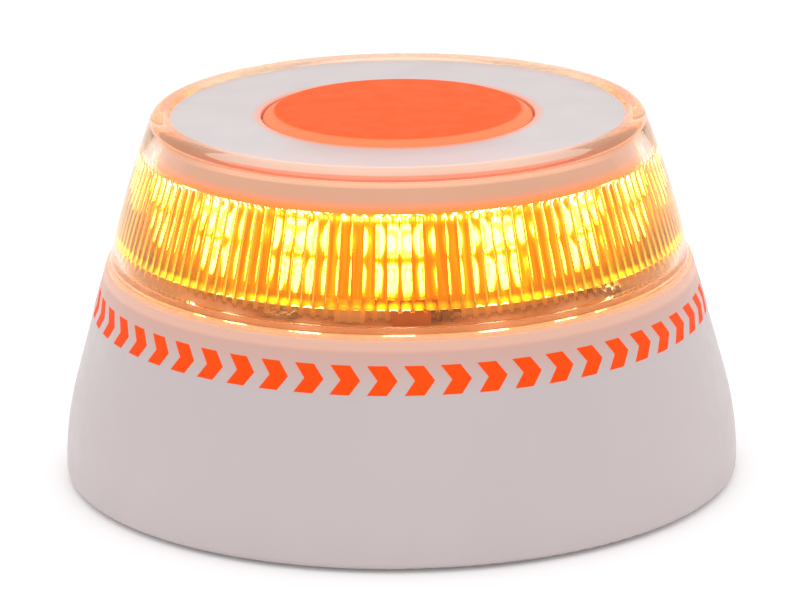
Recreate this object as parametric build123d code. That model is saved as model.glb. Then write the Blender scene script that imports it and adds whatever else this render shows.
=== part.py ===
"""Magnetic roof beacon: a flashing amber safety light, modelled as its separate pieces.

Millimetres, +Z up.  The origin is the centre of the plane that the rubber foot rests on.
The beacon's front, where the ribbon connector sits behind the lens, faces -Y.
"""
from build123d import *
import math
import os

os.makedirs("parts", exist_ok=True)

# ---------------------------------------------------------------- overall sizes
base_radius = 50.0        # widest point of the base
overall_height = 54.7     # resting plane to the top edge of the lens
foot_stand = 0.5          # how far the rubber foot stands below the base
seam_height = 32.0        # where the lens foot meets the base
seam_radius = 43.4        # outside of the base at the seam
lens_top_radius = 36.5    # outside of the lens where its top rounding starts

# ---------------------------------------------------------------- base shell
shell_wall = 2.2
shell_flare_height = 8.1  # corner between the upright skirt and the sloping side
shell_flare_round = 45.0
shell_foot_round = 1.0
shell_rim_round = 0.5
shell_flare_margin = 0.05 # upright left between the two lower roundings
cover_ledge_width = 2.2   # ring inside the skirt that the bottom cover stops against
cover_ledge_height = 2.0
shelf_radius = 35.0       # bore of the shelf that carries the lens and the platform
shelf_drop = 2.5          # shelf top below the seam
shelf_thickness = 2.2

# ---------------------------------------------------------------- chevrons
chevron_count = 54
chevron_height = 4.0
chevron_drop = 5.3        # the row's centre line below the seam
chevron_arm = 2.8         # width of an arm along the row
chevron_tip = 1.5         # how far the point runs ahead of the arm
chevron_depth = 0.3

# ---------------------------------------------------------------- lens
lens_wall = 2.2
lens_belly = 0.5          # how far the side bows out from a straight cone
lens_top_thickness = 1.5
lens_foot_height = 0.45   # thin flange that lies on the base's rim
lens_foot_inset = 0.2     # flange edge inside the base's edge
lens_foot_step = 0.35     # flange edge outside the lens wall
lens_floor_height = 0.9   # thick ring above the seam that the plug hangs from
lens_rim_height = 0.8     # raised edge around the recessed top
lens_rim_round = 1.6
lens_rim_width = 2.2      # top edge to the recess
lens_rim_lean = 0.4       # how far the edge's inner side leans in
plug_wall = 2.3
plug_clearance = 0.2      # lens plug inside the base's mouth
lip_width = 1.6           # lip under the platform's edge
lip_height = 1.0
flute_count = 144
flute_depth = 0.35
flute_lift = 2.5          # flutes start above the lens floor
flute_overlap = 0.6       # flutes end above the lower edge of the inner cap

# ---------------------------------------------------------------- lens seal
seal_section = 1.2
seal_clearance = 0.05

# ---------------------------------------------------------------- LED platform
platform_thickness = 2.0
platform_clearance = 0.2
platform_screw_count = 4
platform_screw_turn = 60.0
platform_screw_inset = 1.5     # screw circle inside the shelf's bore
hook_size = (1.2, 1.4, 1.2)    # along the ring, outwards, up: post of the ribbon hook
hook_arm = (4.0, 1.4, 1.0)     # the arm on top of that post
hook_spacing = 4.75            # hook's middle from the connector's middle, along the drum

# ---------------------------------------------------------------- LED drum
drum_radius = 30.2
drum_wall = 1.8
drum_ledge_width = 2.0
drum_ledge_height = 1.6
drum_boss_radius = 2.6
drum_boss_height = 7.0
drum_boss_inset = 2.1          # boss circle inside the drum's bore
drum_screw_count = 3
drum_screw_turn = 90.0
drum_foot_size = (4.2, 2.6, 3.2)    # along the ring, outwards, up
drum_foot_count = 3
drum_foot_turn = -102.7        # degrees from +X: the first foot is just left of the front
flex_thickness = 0.3
flex_lift = 3.4                # flex board above the platform
flex_drop = 1.5                # flex board below the inner cap
flex_gap = 0.05
led_count = 14
led_turn = -90.0
upper_led_size = (1.3, 3.4, 3.2)    # outwards, along the ring, up
upper_led_drop = 5.1                # row's middle below the inner cap
lower_led_size = (1.0, 2.4, 1.7)
lower_led_drop = 9.7
connector_size = (3.4, 5.4, 2.6)    # outwards, along the ring, up
connector_latch = (1.2, 5.0, 0.8)
connector_turn = -87.3

# ---------------------------------------------------------------- inner cap and button well
cap_gap = 0.3             # cap below the lens's top
cap_side_gap = 0.5        # cap inside the lens's side
cap_thickness = 1.4
cap_skirt_height = 4.2
well_clearance = 0.6      # well wall outside the button's flange
well_wall = 1.2
well_depth = 4.5          # cap's top to the well's floor
well_floor_thickness = 1.2
bush_wall = 2.2
bush_height = 3.0

# ---------------------------------------------------------------- push button
button_radius = 19.8
button_bevel_width = 1.8
button_bevel = 1.05
button_edge_round = 0.25
button_clearance = 0.3    # button inside the lens's hole
button_skin = 2.2
button_skirt_wall = 1.6
button_flange_width = 1.6
button_flange_height = 1.2
button_travel = 1.2
stem_radius = 3.0
stem_clearance = 0.05
stem_stand = 0.4          # stem's end below the well's floor
spring_wire = 0.7
spring_coils = 3.5
spring_clearance = 0.35   # spring outside the bush
stem_seal_section = 1.3

# ---------------------------------------------------------------- top board and switch
board_thickness = 1.2
board_clearance = 0.4     # top board inside the drum
switch_side = 6.0
switch_height = 3.4
plunger_radius = 1.75
plunger_height = 1.5      # plunger above the switch body
plunger_tail = 1.6        # plunger inside the switch body
top_screw_inset = 3.4     # screw circle inside the drum's bore
top_screw_turn = 30.0
top_screw_length = 5.0
antenna_side = 15.0
antenna_height = 4.0
antenna_pad_side = 11.0
antenna_pad_height = 0.2
antenna_offset = 14.5

# ---------------------------------------------------------------- bottom cover and foot
cover_thickness = 2.2
cover_clearance = 0.3
cover_screw_count = 4
cover_screw_turn = 45.0
cover_screw_length = 7.0
boss_radius = 3.0
boss_gap = 0.35           # cover screw bosses outside the bay's collar
boss_height = 9.0
boss_web = 1.6
foot_width = 3.0
foot_edge = 1.0           # foot's groove inside the cover's edge
foot_depth = 1.3          # how far the foot sits into the cover
foot_clearance = 0.05

# ---------------------------------------------------------------- battery bay and door
door_radius = 34.2
door_thickness = 2.0
door_clearance = 0.35
door_seal_height = 1.0
door_seal_width = 1.4
door_seal_edge = 0.1
collar_wall = 2.0
collar_ledge_height = 1.5
collar_ledge_width = 2.0
door_screw_inset = 2.0    # screw circle inside the ledge's bore
door_screw_length = 7.0
door_boss_height = 7.0
cell_count = 3
cell_radius = 5.25
cell_length = 43.3
cell_nub_radius = 1.9
cell_nub_length = 1.2
cell_gap = 0.4
cell_lift = 0.5           # cells above the magnet's backing plate
cell_edge_round = 0.5
tray_wall = 1.4
tray_flange_thickness = 1.2
tray_flange_edge = 0.25   # flange inside the collar's outside
tray_slot_clearance = 0.15
tray_screw_length = 4.4
ear_reach = 2.85          # tray ears' centres outside the collar
ear_radius = 3.4
contact_thickness = 0.4
contact_width = 7.0
contact_half_height = 3.5
contact_tab_width = 2.0
contact_tab_stand = 0.6   # solder tab above the main board
leaf_reach = 2.4          # how far a leaf spring bulges towards its cell
leaf_thickness = 0.3
leaf_gap = 0.05

# ---------------------------------------------------------------- magnet
magnet_radius = 15.0
magnet_thickness = 3.0
magnet_skin = 0.6         # plastic left under the magnet
magnet_clearance = 0.15
magnet_wall = 1.1
plate_thickness = 1.0

# ---------------------------------------------------------------- main board
main_board_radius = 30.0
board_post_height = 1.8
board_post_radius = 2.6
board_screw_x = 17.0      # half spacing of the four board screws
board_screw_y = 12.5
board_screw_length = 4.0
module_size = (18.0, 17.0, 2.6)
module_y = 6.5
chip_sizes = ((8.0, 8.0, 1.1), (6.0, 5.0, 0.9), (4.0, 5.0, 1.4))
chip_places = ((-5.5, 7.0), (5.0, 6.5), (12.5, 25.0))    # X, and Y ahead of the ribbon
capacitor_radius = 3.2
capacitor_height = 5.0
capacitor_x = 18.5
ribbon_width = 9.0
ribbon_thickness = 0.3
ribbon_inset = 6.4         # ribbon inside the bore of the drum's ledge
ribbon_bite = 1.4         # ribbon's end inside its socket
ribbon_clearance = 0.5
socket_size = (11.5, 3.2, 2.4)
whip_size = (26.0, 0.6, 5.0)
whip_y = 23.0

# ---------------------------------------------------------------- screws
screw_radius = 1.25
screw_head_radius = 2.4
screw_head_height = 1.2
screw_clearance = 0.05
screw_tip_room = 0.4
screw_sink = 0.1          # heads of the screws underneath sit this far inside the surface
screw_bite = 6.0          # shank length of the platform's and the drum's screws
pocket_clearance = 0.3
recess_width = 0.6
recess_length = 2.8
recess_depth = 0.6

# ---------------------------------------------------------------- derived sizes, bottom to top
shell_bottom = foot_stand
skirt_inside = base_radius - shell_wall
mouth_radius = seam_radius - shell_wall
cover_top = shell_bottom + cover_thickness
cover_radius = skirt_inside - cover_clearance
cover_screw_seat = shell_bottom + screw_head_height + screw_sink
foot_outer = cover_radius - foot_edge
foot_inner = foot_outer - foot_width
bay_radius = door_radius + door_clearance
collar_outer = bay_radius + collar_wall
ledge_bore = bay_radius - collar_ledge_width
cover_screw_circle = collar_outer + boss_gap + boss_radius
ear_circle = collar_outer + ear_reach
door_top = shell_bottom + door_thickness
ledge_bottom = door_top + door_seal_height
ledge_top = ledge_bottom + collar_ledge_height
door_screw_circle = ledge_bore - door_screw_inset
magnet_bottom = shell_bottom + magnet_skin
plate_bottom = magnet_bottom + magnet_thickness
plate_top = plate_bottom + plate_thickness
cell_axis = plate_top + cell_lift + cell_radius
cell_pitch = 2 * cell_radius + cell_gap
tray_half_x = (cell_length + cell_nub_length + leaf_reach) / 2 + contact_thickness
tray_half_y = cell_count * cell_pitch / 2 + cell_gap / 2
tray_flange_top = ledge_top + tray_flange_thickness
tray_roof_under = cell_axis + cell_radius + cell_gap
tray_roof_top = tray_roof_under + tray_wall
main_board_under = tray_roof_top + board_post_height
main_board_top = main_board_under + board_thickness
shelf_top = seam_height - shelf_drop
shelf_under = shelf_top - shelf_thickness
platform_top = shelf_top + platform_thickness
platform_screw_circle = shelf_radius - platform_screw_inset
plug_radius = mouth_radius - plug_clearance
plug_bore = plug_radius - plug_wall
lip_bore = plug_bore - lip_width
lip_top = shelf_top + lip_height
seal_height = (lip_top + seam_height) / 2
lens_floor_top = seam_height + lens_floor_height
lens_recess = overall_height - lens_rim_height
lens_under = lens_recess - lens_top_thickness
cap_top = lens_under - cap_gap
cap_under = cap_top - cap_thickness
cap_skirt_bottom = cap_top - cap_skirt_height
well_floor_top = cap_top - well_depth
well_floor_under = well_floor_top - well_floor_thickness
flute_bottom = lens_floor_top + flute_lift
flute_top = cap_skirt_bottom + flute_overlap
hole_radius = button_radius + button_clearance
flange_radius = button_radius + button_flange_width
well_radius = flange_radius + well_clearance
bush_bore = stem_radius + stem_clearance
bush_radius = bush_bore + bush_wall
bush_top = well_floor_top + bush_height
button_skin_under = overall_height - button_skin
stem_end = well_floor_under - stem_stand
switch_top = stem_end - plunger_height
top_board_top = switch_top - switch_height
top_board_under = top_board_top - board_thickness
drum_bore = drum_radius - drum_wall
drum_screw_circle = drum_bore - drum_boss_inset
ribbon_y = ribbon_inset + drum_ledge_width - drum_bore
top_screw_circle = drum_bore - top_screw_inset
flex_inner = drum_radius + flex_gap
flex_outer = flex_inner + flex_thickness
hook_turn = connector_turn + math.degrees(hook_spacing / flex_outer)
lens_foot_radius = seam_radius - lens_foot_inset
lens_start = (lens_foot_radius - lens_foot_step, seam_height + lens_foot_height)
lens_slope = (lens_start[0] - lens_top_radius) / (overall_height - lens_rim_round - lens_start[1])
shell_slope = (base_radius - seam_radius) / (seam_height - shell_flare_height)
flare_half_turn = math.tan(math.atan(shell_slope) / 2)
flare_room = shell_flare_height - shell_bottom - shell_foot_round - shell_flare_margin
flare_round = min(shell_flare_round, flare_room / flare_half_turn)


# ---------------------------------------------------------------- helpers
def turned(points, rounds=(), bows=()):
    """Body of revolution about Z from a closed (radius, height) outline.

    rounds holds (corner number, fillet radius); bows holds (side number, how far it bulges
    to the right of its direction).
    """
    bulge = dict(bows)
    sides = []
    for number, start in enumerate(points):
        end = points[(number + 1) % len(points)]
        if number in bulge:
            run = Vector(end[0] - start[0], end[1] - start[1])
            middle = Vector(start[0] + end[0], start[1] + end[1]) / 2
            out = Vector(run.Y, -run.X).normalized() * bulge[number]
            sides.append(ThreePointArc(start, middle + out, end))
        else:
            sides.append(Line(start, end))
    section = make_face(sides)
    for corner, radius in rounds:
        vertex = section.vertices().sort_by_distance(Vector(*points[corner]))[0]
        section = fillet(vertex, radius)
    return revolve(Plane.XZ * section, Axis.Z)


def disc(radius, low, high, place=(0.0, 0.0)):
    """Upright cylinder between two heights."""
    return Pos(place[0], place[1], (low + high) / 2) * Cylinder(radius, high - low)


def ring(inner, outer, low, high):
    """Flat ring between two heights."""
    return disc(outer, low, high) - disc(inner, low - 1, high + 1)


def torus(middle, section, height):
    """Round ring lying level."""
    return Pos(0, 0, height) * Torus(middle, section / 2)


def block(size, place, low):
    """Box centred on a place, standing on a height."""
    return Pos(place[0], place[1], low + size[2] / 2) * Box(*size)


def block_on_ring(size, radius, degrees, low):
    """Box whose inner face touches a circle, turned to face outwards."""
    return Rot(0, 0, degrees) * block(size, (radius + size[0] / 2, 0.0), low)


def polar(radius, degrees):
    """X and Y of a point on a circle."""
    turn = math.radians(degrees)
    return radius * math.cos(turn), radius * math.sin(turn)


def spaced(count, start=0.0):
    """Angles of evenly spaced items."""
    return [start + 360.0 * number / count for number in range(count)]


def circle_places(count, radius, start=0.0):
    """Evenly spaced places on a circle."""
    return [polar(radius, degrees) for degrees in spaced(count, start)]


def screw(place, seat, length, way):
    """Cross-recessed screw whose head bears on a height; way is 1 for head up, -1 for head down."""
    top = seat + way * screw_head_height
    tip = seat - way * length
    floor = top - way * recess_depth
    body = disc(screw_head_radius, min(seat, top), max(seat, top), place)
    body += disc(screw_radius, min(seat, tip), max(seat, tip), place)
    body -= block((recess_length, recess_width, recess_depth), place, min(top, floor))
    body -= block((recess_width, recess_length, recess_depth), place, min(top, floor))
    return body


def screw_hole(place, low, high):
    """Hole that a screw's shank runs in."""
    return disc(screw_radius + screw_clearance, low, high, place)


def head_pocket(place, low, high):
    """Counterbore for a screw's head."""
    return disc(screw_head_radius + pocket_clearance, low, high, place)


def shell_outside(height):
    """Radius of the base's sloping side."""
    return base_radius - shell_slope * (height - shell_flare_height)


def lens_inside(height):
    """Radius of the lens's inner side."""
    return lens_start[0] - lens_slope * (height - lens_start[1]) - lens_wall


def save(name, *solids):
    """Write one node from its separate solids."""
    shape = solids[0] if len(solids) == 1 else Compound(children=list(solids))
    export_step(shape, f"parts/{name}.step")


def save_screws(name, places, seat, length, way):
    """Write one node of identical screws."""
    save(name, *[screw(place, seat, length, way) for place in places])


# ---------------------------------------------------------------- screw places
cover_screw_places = circle_places(cover_screw_count, cover_screw_circle, cover_screw_turn)
platform_screw_places = circle_places(platform_screw_count, platform_screw_circle, platform_screw_turn)
drum_screw_places = circle_places(drum_screw_count, drum_screw_circle, drum_screw_turn)
top_screw_places = circle_places(drum_screw_count, top_screw_circle, top_screw_turn)
door_screw_places = [(0.0, -door_screw_circle), (0.0, door_screw_circle)]
ear_places = [(0.0, -ear_circle), (0.0, ear_circle)]
board_screw_places = [
    (x, y) for x in (-board_screw_x, board_screw_x) for y in (-board_screw_y, board_screw_y)
]


# ---------------------------------------------------------------- base shell and chevrons
def base_body(inset):
    """Solid bounded by the base's outside, moved inwards by inset."""
    outline = [
        (0, shell_bottom),
        (base_radius - inset, shell_bottom),
        (base_radius - inset, shell_flare_height),
        (seam_radius - inset, seam_height),
        (0, seam_height),
    ]
    return turned(outline, [(2, flare_round), (1, shell_foot_round), (3, shell_rim_round)])


def base_shell():
    """White shell: skirt, sloping side, cover ledge, lens shelf and screw bosses."""
    ledge_inside = skirt_inside - cover_ledge_width
    ledge_high = cover_top + cover_ledge_height
    hollow = turned(
        [
            (0, shell_bottom - 1),
            (skirt_inside, shell_bottom - 1),
            (skirt_inside, cover_top),
            (ledge_inside, cover_top),
            (ledge_inside, ledge_high),
            (skirt_inside, ledge_high + cover_ledge_width),
            (skirt_inside, shell_flare_height),
            (shell_outside(shelf_under) - shell_wall, shelf_under),
            (shelf_radius, shelf_under),
            (shelf_radius, shelf_top),
            (mouth_radius, shelf_top),
            (mouth_radius, seam_height + 1),
            (0, seam_height + 1),
        ]
    )
    shell = base_body(0) - hollow
    reach = skirt_inside - cover_screw_circle
    for degrees, place in zip(spaced(cover_screw_count, cover_screw_turn), cover_screw_places):
        shell += disc(boss_radius, cover_top, cover_top + boss_height, place)
        web = block((reach, boss_web, boss_height), (cover_screw_circle + reach / 2, 0), cover_top)
        shell += Rot(0, 0, degrees) * web
        tip = cover_screw_seat + cover_screw_length
        shell -= screw_hole(place, cover_top - 1, tip + screw_tip_room)
    for place in platform_screw_places:
        shell += disc(boss_radius, shelf_top - boss_height, shelf_top, place)
        shell -= screw_hole(place, shelf_top - boss_height + 1, shelf_top + 1)
    return shell & base_body(0)


def arrow_slab(degrees):
    """Chevron outline standing outside the shell, pushed inwards through its wall."""
    half = chevron_height / 2
    tail = -(chevron_arm + chevron_tip) / 2
    outline = [
        (tail, -half),
        (tail + chevron_arm, -half),
        (tail + chevron_arm + chevron_tip, 0),
        (tail + chevron_arm, half),
        (tail, half),
        (tail + chevron_tip, 0),
    ]
    middle = seam_height - chevron_drop
    outside = Plane(origin=(0, -base_radius, middle), x_dir=(1, 0, 0), z_dir=(0, -1, 0))
    reach = base_radius - shell_outside(middle) + shell_wall
    slab = extrude(outside * make_face(Polyline(*outline, close=True)), amount=-reach)
    return Rot(0, 0, degrees) * slab


def chevrons():
    """The row of arrows that lies flush in the base's side."""
    skin = base_body(0) - base_body(chevron_depth)
    return [skin & arrow_slab(degrees) for degrees in spaced(chevron_count, 180.0 / chevron_count)]


# ---------------------------------------------------------------- lens
def fluted_core():
    """Hollow of the fluted band: its side is a ring of inward ribs."""
    sections = []
    for height in (flute_bottom, flute_top):
        radius = lens_inside(height)
        sides = []
        for degrees in spaced(flute_count, 90.0 / flute_count):
            step = 360.0 / flute_count
            start = polar(radius, degrees)
            crest = polar(radius - flute_depth, degrees + step / 2)
            end = polar(radius, degrees + step)
            sides.append(ThreePointArc(start, crest, end))
        sections.append(Pos(0, 0, height) * make_face(sides))
    return loft(sections, ruled=True)


def lens_dome():
    """Clear lens: plug, foot flange, bowed side with inner flutes, rim and recessed top."""
    top_edge = lens_top_radius - lens_slope * lens_rim_round
    recess_edge = top_edge - lens_rim_width
    groove = seal_section / 2 + seal_clearance
    lens = turned(
        [
            (0, shelf_top),
            (plug_radius, shelf_top),
            (plug_radius, seam_height),
            (lens_foot_radius, seam_height),
            (lens_foot_radius, lens_start[1]),
            lens_start,
            (top_edge, overall_height),
            (recess_edge, overall_height),
            (recess_edge - lens_rim_lean, lens_recess),
            (0, lens_recess),
        ],
        [(6, lens_rim_round), (7, lens_rim_height / 2), (8, lens_rim_lean / 2), (4, lens_foot_step / 3)],
        [(5, lens_belly)],
    )
    lens -= disc(hole_radius, lens_under - 1, overall_height + 1)
    lens -= disc(lip_bore, shelf_top - 1, lip_top + 1)
    lens -= disc(plug_bore, lip_top, lens_floor_top + 1)
    lens -= turned(
        [
            (0, lens_floor_top),
            (lens_inside(lens_floor_top), lens_floor_top),
            (lens_inside(flute_bottom), flute_bottom),
            (0, flute_bottom),
        ]
    )
    lens -= fluted_core()
    lens -= turned(
        [
            (0, flute_top),
            (lens_inside(flute_top), flute_top),
            (lens_inside(lens_under), lens_under),
            (0, lens_under),
        ],
        [(2, cap_gap)],
    )
    lens -= ring(mouth_radius - 2 * groove, plug_radius + 1, seal_height - groove, seal_height + groove)
    return lens


def lens_seal():
    """Rubber ring between the lens plug and the base's mouth."""
    return torus(mouth_radius - seal_section / 2 - seal_clearance, seal_section, seal_height)


# ---------------------------------------------------------------- LED platform, drum and lights
def led_platform():
    """Round plate that clamps the lens and carries the drum."""
    plate = disc(lip_bore - platform_clearance, shelf_top, platform_top)
    plate += disc(plug_bore - platform_clearance, lip_top, platform_top)
    for place in platform_screw_places + drum_screw_places:
        plate -= screw_hole(place, shelf_top - 1, platform_top + 1)
    slot_width = ribbon_width + 2 * ribbon_clearance
    slot_depth = ribbon_thickness + 2 * ribbon_clearance
    slot = (slot_width, slot_depth, 3 * platform_thickness)
    plate -= block(slot, (0, ribbon_y), shelf_top - platform_thickness)
    post = (hook_size[1], hook_size[0], hook_size[2])
    arm = (hook_arm[1], hook_arm[0], hook_arm[2])
    plate += block_on_ring(post, flex_outer + flex_gap, hook_turn, platform_top)
    return plate + block_on_ring(arm, flex_outer + flex_gap, hook_turn, platform_top + hook_size[2])


def led_drum():
    """White drum that holds the flex board upright, with a ledge for the top board."""
    drum = ring(drum_bore, drum_radius, platform_top, cap_under)
    ledge_low = top_board_under - drum_ledge_height
    drum += ring(drum_bore - drum_ledge_width, drum_bore, ledge_low, top_board_under)
    for place in drum_screw_places:
        drum += disc(drum_boss_radius, platform_top, platform_top + drum_boss_height, place)
    for place in top_screw_places:
        drum += disc(drum_boss_radius, top_board_under - top_screw_length - 1, top_board_under, place)
    for degrees in spaced(drum_foot_count, drum_foot_turn):
        foot = (drum_foot_size[1] + drum_wall / 2, drum_foot_size[0], drum_foot_size[2])
        drum += block_on_ring(foot, drum_radius - drum_wall / 2, degrees, platform_top)
    drum &= disc(plug_bore, platform_top, cap_under)
    for place in drum_screw_places:
        drum -= screw_hole(place, platform_top - 1, platform_top + drum_boss_height - 1)
    for place in top_screw_places:
        drum -= screw_hole(place, top_board_under - top_screw_length, top_board_under + 1)
    return drum


def led_flex():
    """Thin board wrapped round the drum."""
    return ring(flex_inner, flex_outer, platform_top + flex_lift, cap_skirt_bottom - flex_drop)


def led_row(size, drop):
    """One ring of LED packages on the flex board."""
    low = cap_skirt_bottom - drop - size[2] / 2
    return [block_on_ring(size, flex_outer, degrees, low) for degrees in spaced(led_count, led_turn)]


def flex_connector():
    """Connector at the drum's foot that the flex board plugs into."""
    start = flex_outer + flex_gap
    body = block_on_ring(connector_size, start, connector_turn, platform_top)
    latch_low = platform_top + connector_size[2]
    return body + block_on_ring(connector_latch, start, connector_turn, latch_low)


# ---------------------------------------------------------------- inner cap, button and spring
def inner_cap():
    """White cap under the lens's top: plate, skirt, and the well with the button's bush."""
    side = cap_side_gap
    cap = turned(
        [
            (0, cap_skirt_bottom),
            (lens_inside(cap_skirt_bottom) - side, cap_skirt_bottom),
            (lens_inside(cap_top) - side, cap_top),
            (0, cap_top),
        ],
        [(2, cap_thickness / 2)],
    )
    cap -= turned(
        [
            (0, cap_skirt_bottom - 1),
            (lens_inside(cap_skirt_bottom) - side - cap_thickness, cap_skirt_bottom - 1),
            (lens_inside(cap_under) - side - cap_thickness, cap_under),
            (0, cap_under),
        ]
    )
    cap += ring(well_radius, well_radius + well_wall, well_floor_under, cap_top)
    cap += disc(well_radius + well_wall, well_floor_under, well_floor_top)
    cap += disc(bush_radius, well_floor_under, bush_top)
    cap -= disc(hole_radius, cap_under - 1, cap_top + 1)
    cap -= disc(bush_bore, well_floor_under - 1, bush_top + 1)
    groove = stem_seal_section / 2 + stem_clearance
    return cap - disc(bush_bore + 2 * groove, stem_seal_height() - groove, stem_seal_height() + groove)


def stem_seal_height():
    """Middle of the ring that seals the stem in its bush."""
    return (well_floor_under + bush_top) / 2


def stem_seal():
    """Rubber ring round the button's stem."""
    return torus(bush_bore + stem_seal_section / 2, stem_seal_section, stem_seal_height())


def push_button():
    """Orange cap with a bevelled edge, a stop flange and a stem down to the switch."""
    bevel_foot = overall_height - button_bevel
    flange_bottom = cap_under - button_flange_height
    button = turned(
        [
            (0, button_skin_under),
            (button_radius - button_skirt_wall, button_skin_under),
            (button_radius - button_skirt_wall, flange_bottom),
            (flange_radius, flange_bottom),
            (flange_radius, cap_under),
            (button_radius, cap_under),
            (button_radius, bevel_foot),
            (button_radius - button_bevel_width, overall_height),
            (0, overall_height),
        ],
        [(7, button_edge_round), (6, button_edge_round)],
    )
    return button + disc(stem_radius, stem_end, button_skin_under + 1)


def return_spring():
    """Coil spring round the bush, between the well's floor and the button."""
    radius = bush_radius + spring_clearance + spring_wire / 2
    height = button_skin_under - well_floor_top - spring_wire
    path = Pos(0, 0, well_floor_top + spring_wire / 2) * Helix(height / spring_coils, height, radius)
    start = Plane(origin=path @ 0, z_dir=path % 0)
    return sweep(start * Circle(spring_wire / 2), path=path, is_frenet=True)


# ---------------------------------------------------------------- top board
def top_board():
    """Small board inside the drum, under the button's well."""
    board = disc(drum_bore - board_clearance, top_board_under, top_board_top)
    for place in top_screw_places:
        board -= screw_hole(place, top_board_under - 1, top_board_top + 1)
    return board


def tact_switch():
    """Switch body with the bore that its plunger slides in."""
    body = block((switch_side, switch_side, switch_height), (0, 0), top_board_top)
    depth = plunger_tail + button_travel + screw_clearance
    return body - disc(plunger_radius + stem_clearance, switch_top - depth, switch_top + 1)


def switch_plunger():
    """Round plunger that the button's stem pushes."""
    return disc(plunger_radius, switch_top - plunger_tail, stem_end)


def satellite_antenna():
    """Ceramic block with its metal patch."""
    place = (antenna_offset, 0)
    body = block((antenna_side, antenna_side, antenna_height), place, top_board_top)
    pad = (antenna_pad_side, antenna_pad_side, antenna_pad_height)
    return body + block(pad, place, top_board_top + antenna_height)


# ---------------------------------------------------------------- bottom cover, foot and door
def bottom_cover():
    """Plate that closes the base, with the battery bay's collar."""
    cover = disc(cover_radius, shell_bottom, cover_top)
    cover += disc(collar_outer, shell_bottom, ledge_top)
    for place in ear_places:
        cover += disc(boss_radius, cover_top, ledge_top, place)
    cover -= disc(bay_radius, shell_bottom - 1, ledge_bottom)
    cover -= disc(ledge_bore, shell_bottom - 1, ledge_top + 1)
    for place in door_screw_places:
        cover += disc(boss_radius, ledge_bottom, ledge_bottom + door_boss_height, place)
        cover -= screw_hole(place, ledge_bottom - 1, ledge_bottom + door_boss_height - 1)
    for place in cover_screw_places:
        cover -= head_pocket(place, shell_bottom - 1, cover_screw_seat)
        cover -= screw_hole(place, shell_bottom, cover_top + 1)
    tray_screw_tip = tray_flange_top - tray_screw_length
    for place in ear_places:
        cover -= screw_hole(place, tray_screw_tip - screw_tip_room / 2, ledge_top + 1)
    return cover - ring(foot_inner, foot_outer, shell_bottom - 1, shell_bottom + foot_depth)


def rubber_foot():
    """Ring that the beacon rests on."""
    inner = foot_inner + foot_clearance
    outer = foot_outer - foot_clearance
    top = shell_bottom + foot_depth
    return turned(
        [(inner, 0), (outer, 0), (outer, top), (inner, top)],
        [(0, foot_stand / 2), (1, foot_stand / 2)],
    )


def battery_door():
    """Round door with the magnet's cup on its inner face."""
    door = disc(door_radius, shell_bottom, door_top)
    cup = magnet_radius + magnet_clearance
    door += disc(cup + magnet_wall, shell_bottom, plate_top)
    door -= disc(cup, magnet_bottom, plate_top + 1)
    for place in door_screw_places:
        door -= head_pocket(place, shell_bottom - 1, cover_screw_seat)
        door -= screw_hole(place, shell_bottom, door_top + 1)
    return door


def door_seal():
    """Flat rubber ring between the door and the bay's ledge."""
    outer = door_radius - door_seal_edge
    return ring(outer - door_seal_width, outer, door_top, ledge_bottom)


# ---------------------------------------------------------------- battery tray and cells
def cell_ends():
    """For each cell, its middle in Y and the side, 1 or -1, that its positive end faces."""
    first = -cell_pitch * (cell_count - 1) / 2
    return [(first + cell_pitch * number, 1 - 2 * (number % 2)) for number in range(cell_count)]


def battery_tray():
    """Open-bottomed box round the cells, with a flange that lies on the bay's ledge."""
    outer = (2 * (tray_half_x + tray_wall), 2 * (tray_half_y + tray_wall), tray_roof_top - ledge_top)
    tray = disc(collar_outer - tray_flange_edge, ledge_top, tray_flange_top)
    for place in ear_places:
        tray += disc(ear_radius, ledge_top, tray_flange_top, place)
    for place in door_screw_places:
        tray -= disc(boss_radius + pocket_clearance, ledge_top - 1, tray_flange_top + 1, place)
    tray += block(outer, (0, 0), ledge_top)
    inner = (2 * tray_half_x, 2 * tray_half_y, tray_roof_under - ledge_top + 1)
    tray -= block(inner, (0, 0), ledge_top - 1)
    board_screw_tip = main_board_top - board_screw_length
    for place in board_screw_places:
        tray += disc(board_post_radius, tray_roof_top - tray_wall / 2, main_board_under, place)
        tray -= screw_hole(place, board_screw_tip - screw_tip_room / 2, main_board_under + 1)
    for place in ear_places:
        tray -= screw_hole(place, ledge_top - 1, tray_flange_top + 1)
    return tray - tab_slots(tray_roof_under - 1, tray_roof_top + 1)


def tab_slots(low, high):
    """Slots that the contacts' solder tabs pass through."""
    slots = []
    room = 2 * tray_slot_clearance
    size = (contact_thickness + room, contact_tab_width + room, high - low)
    for middle, _ in cell_ends():
        for side in (-1, 1):
            slots.append(block(size, (side * (tray_half_x - contact_thickness / 2), middle), low))
    return Compound(children=slots)


def battery_cell(middle, side):
    """One dry cell lying along X with its nub towards side."""
    body = Rot(0, 90, 0) * Cylinder(cell_radius, cell_length)
    body = fillet(body.edges().filter_by(GeomType.CIRCLE), cell_edge_round)
    nub = Rot(0, 90, 0) * Cylinder(cell_nub_radius, cell_nub_length)
    cell = body + Pos((cell_length + cell_nub_length) / 2, 0, 0) * nub
    shift = tray_half_x - contact_thickness - cell_nub_length - cell_length / 2
    turn = 0 if side > 0 else 180
    return Pos(side * shift, middle, cell_axis) * Rot(0, 0, turn) * cell


def contact_plate(middle, side):
    """Flat contact against an end wall, with a solder tab up through the main board."""
    x = side * (tray_half_x - contact_thickness / 2)
    size = (contact_thickness, contact_width, 2 * contact_half_height)
    plate = block(size, (x, middle), cell_axis - contact_half_height)
    tab_low = cell_axis + contact_half_height
    tab = (contact_thickness, contact_tab_width, main_board_top + contact_tab_stand - tab_low)
    return plate + block(tab, (x, middle), tab_low)


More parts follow.
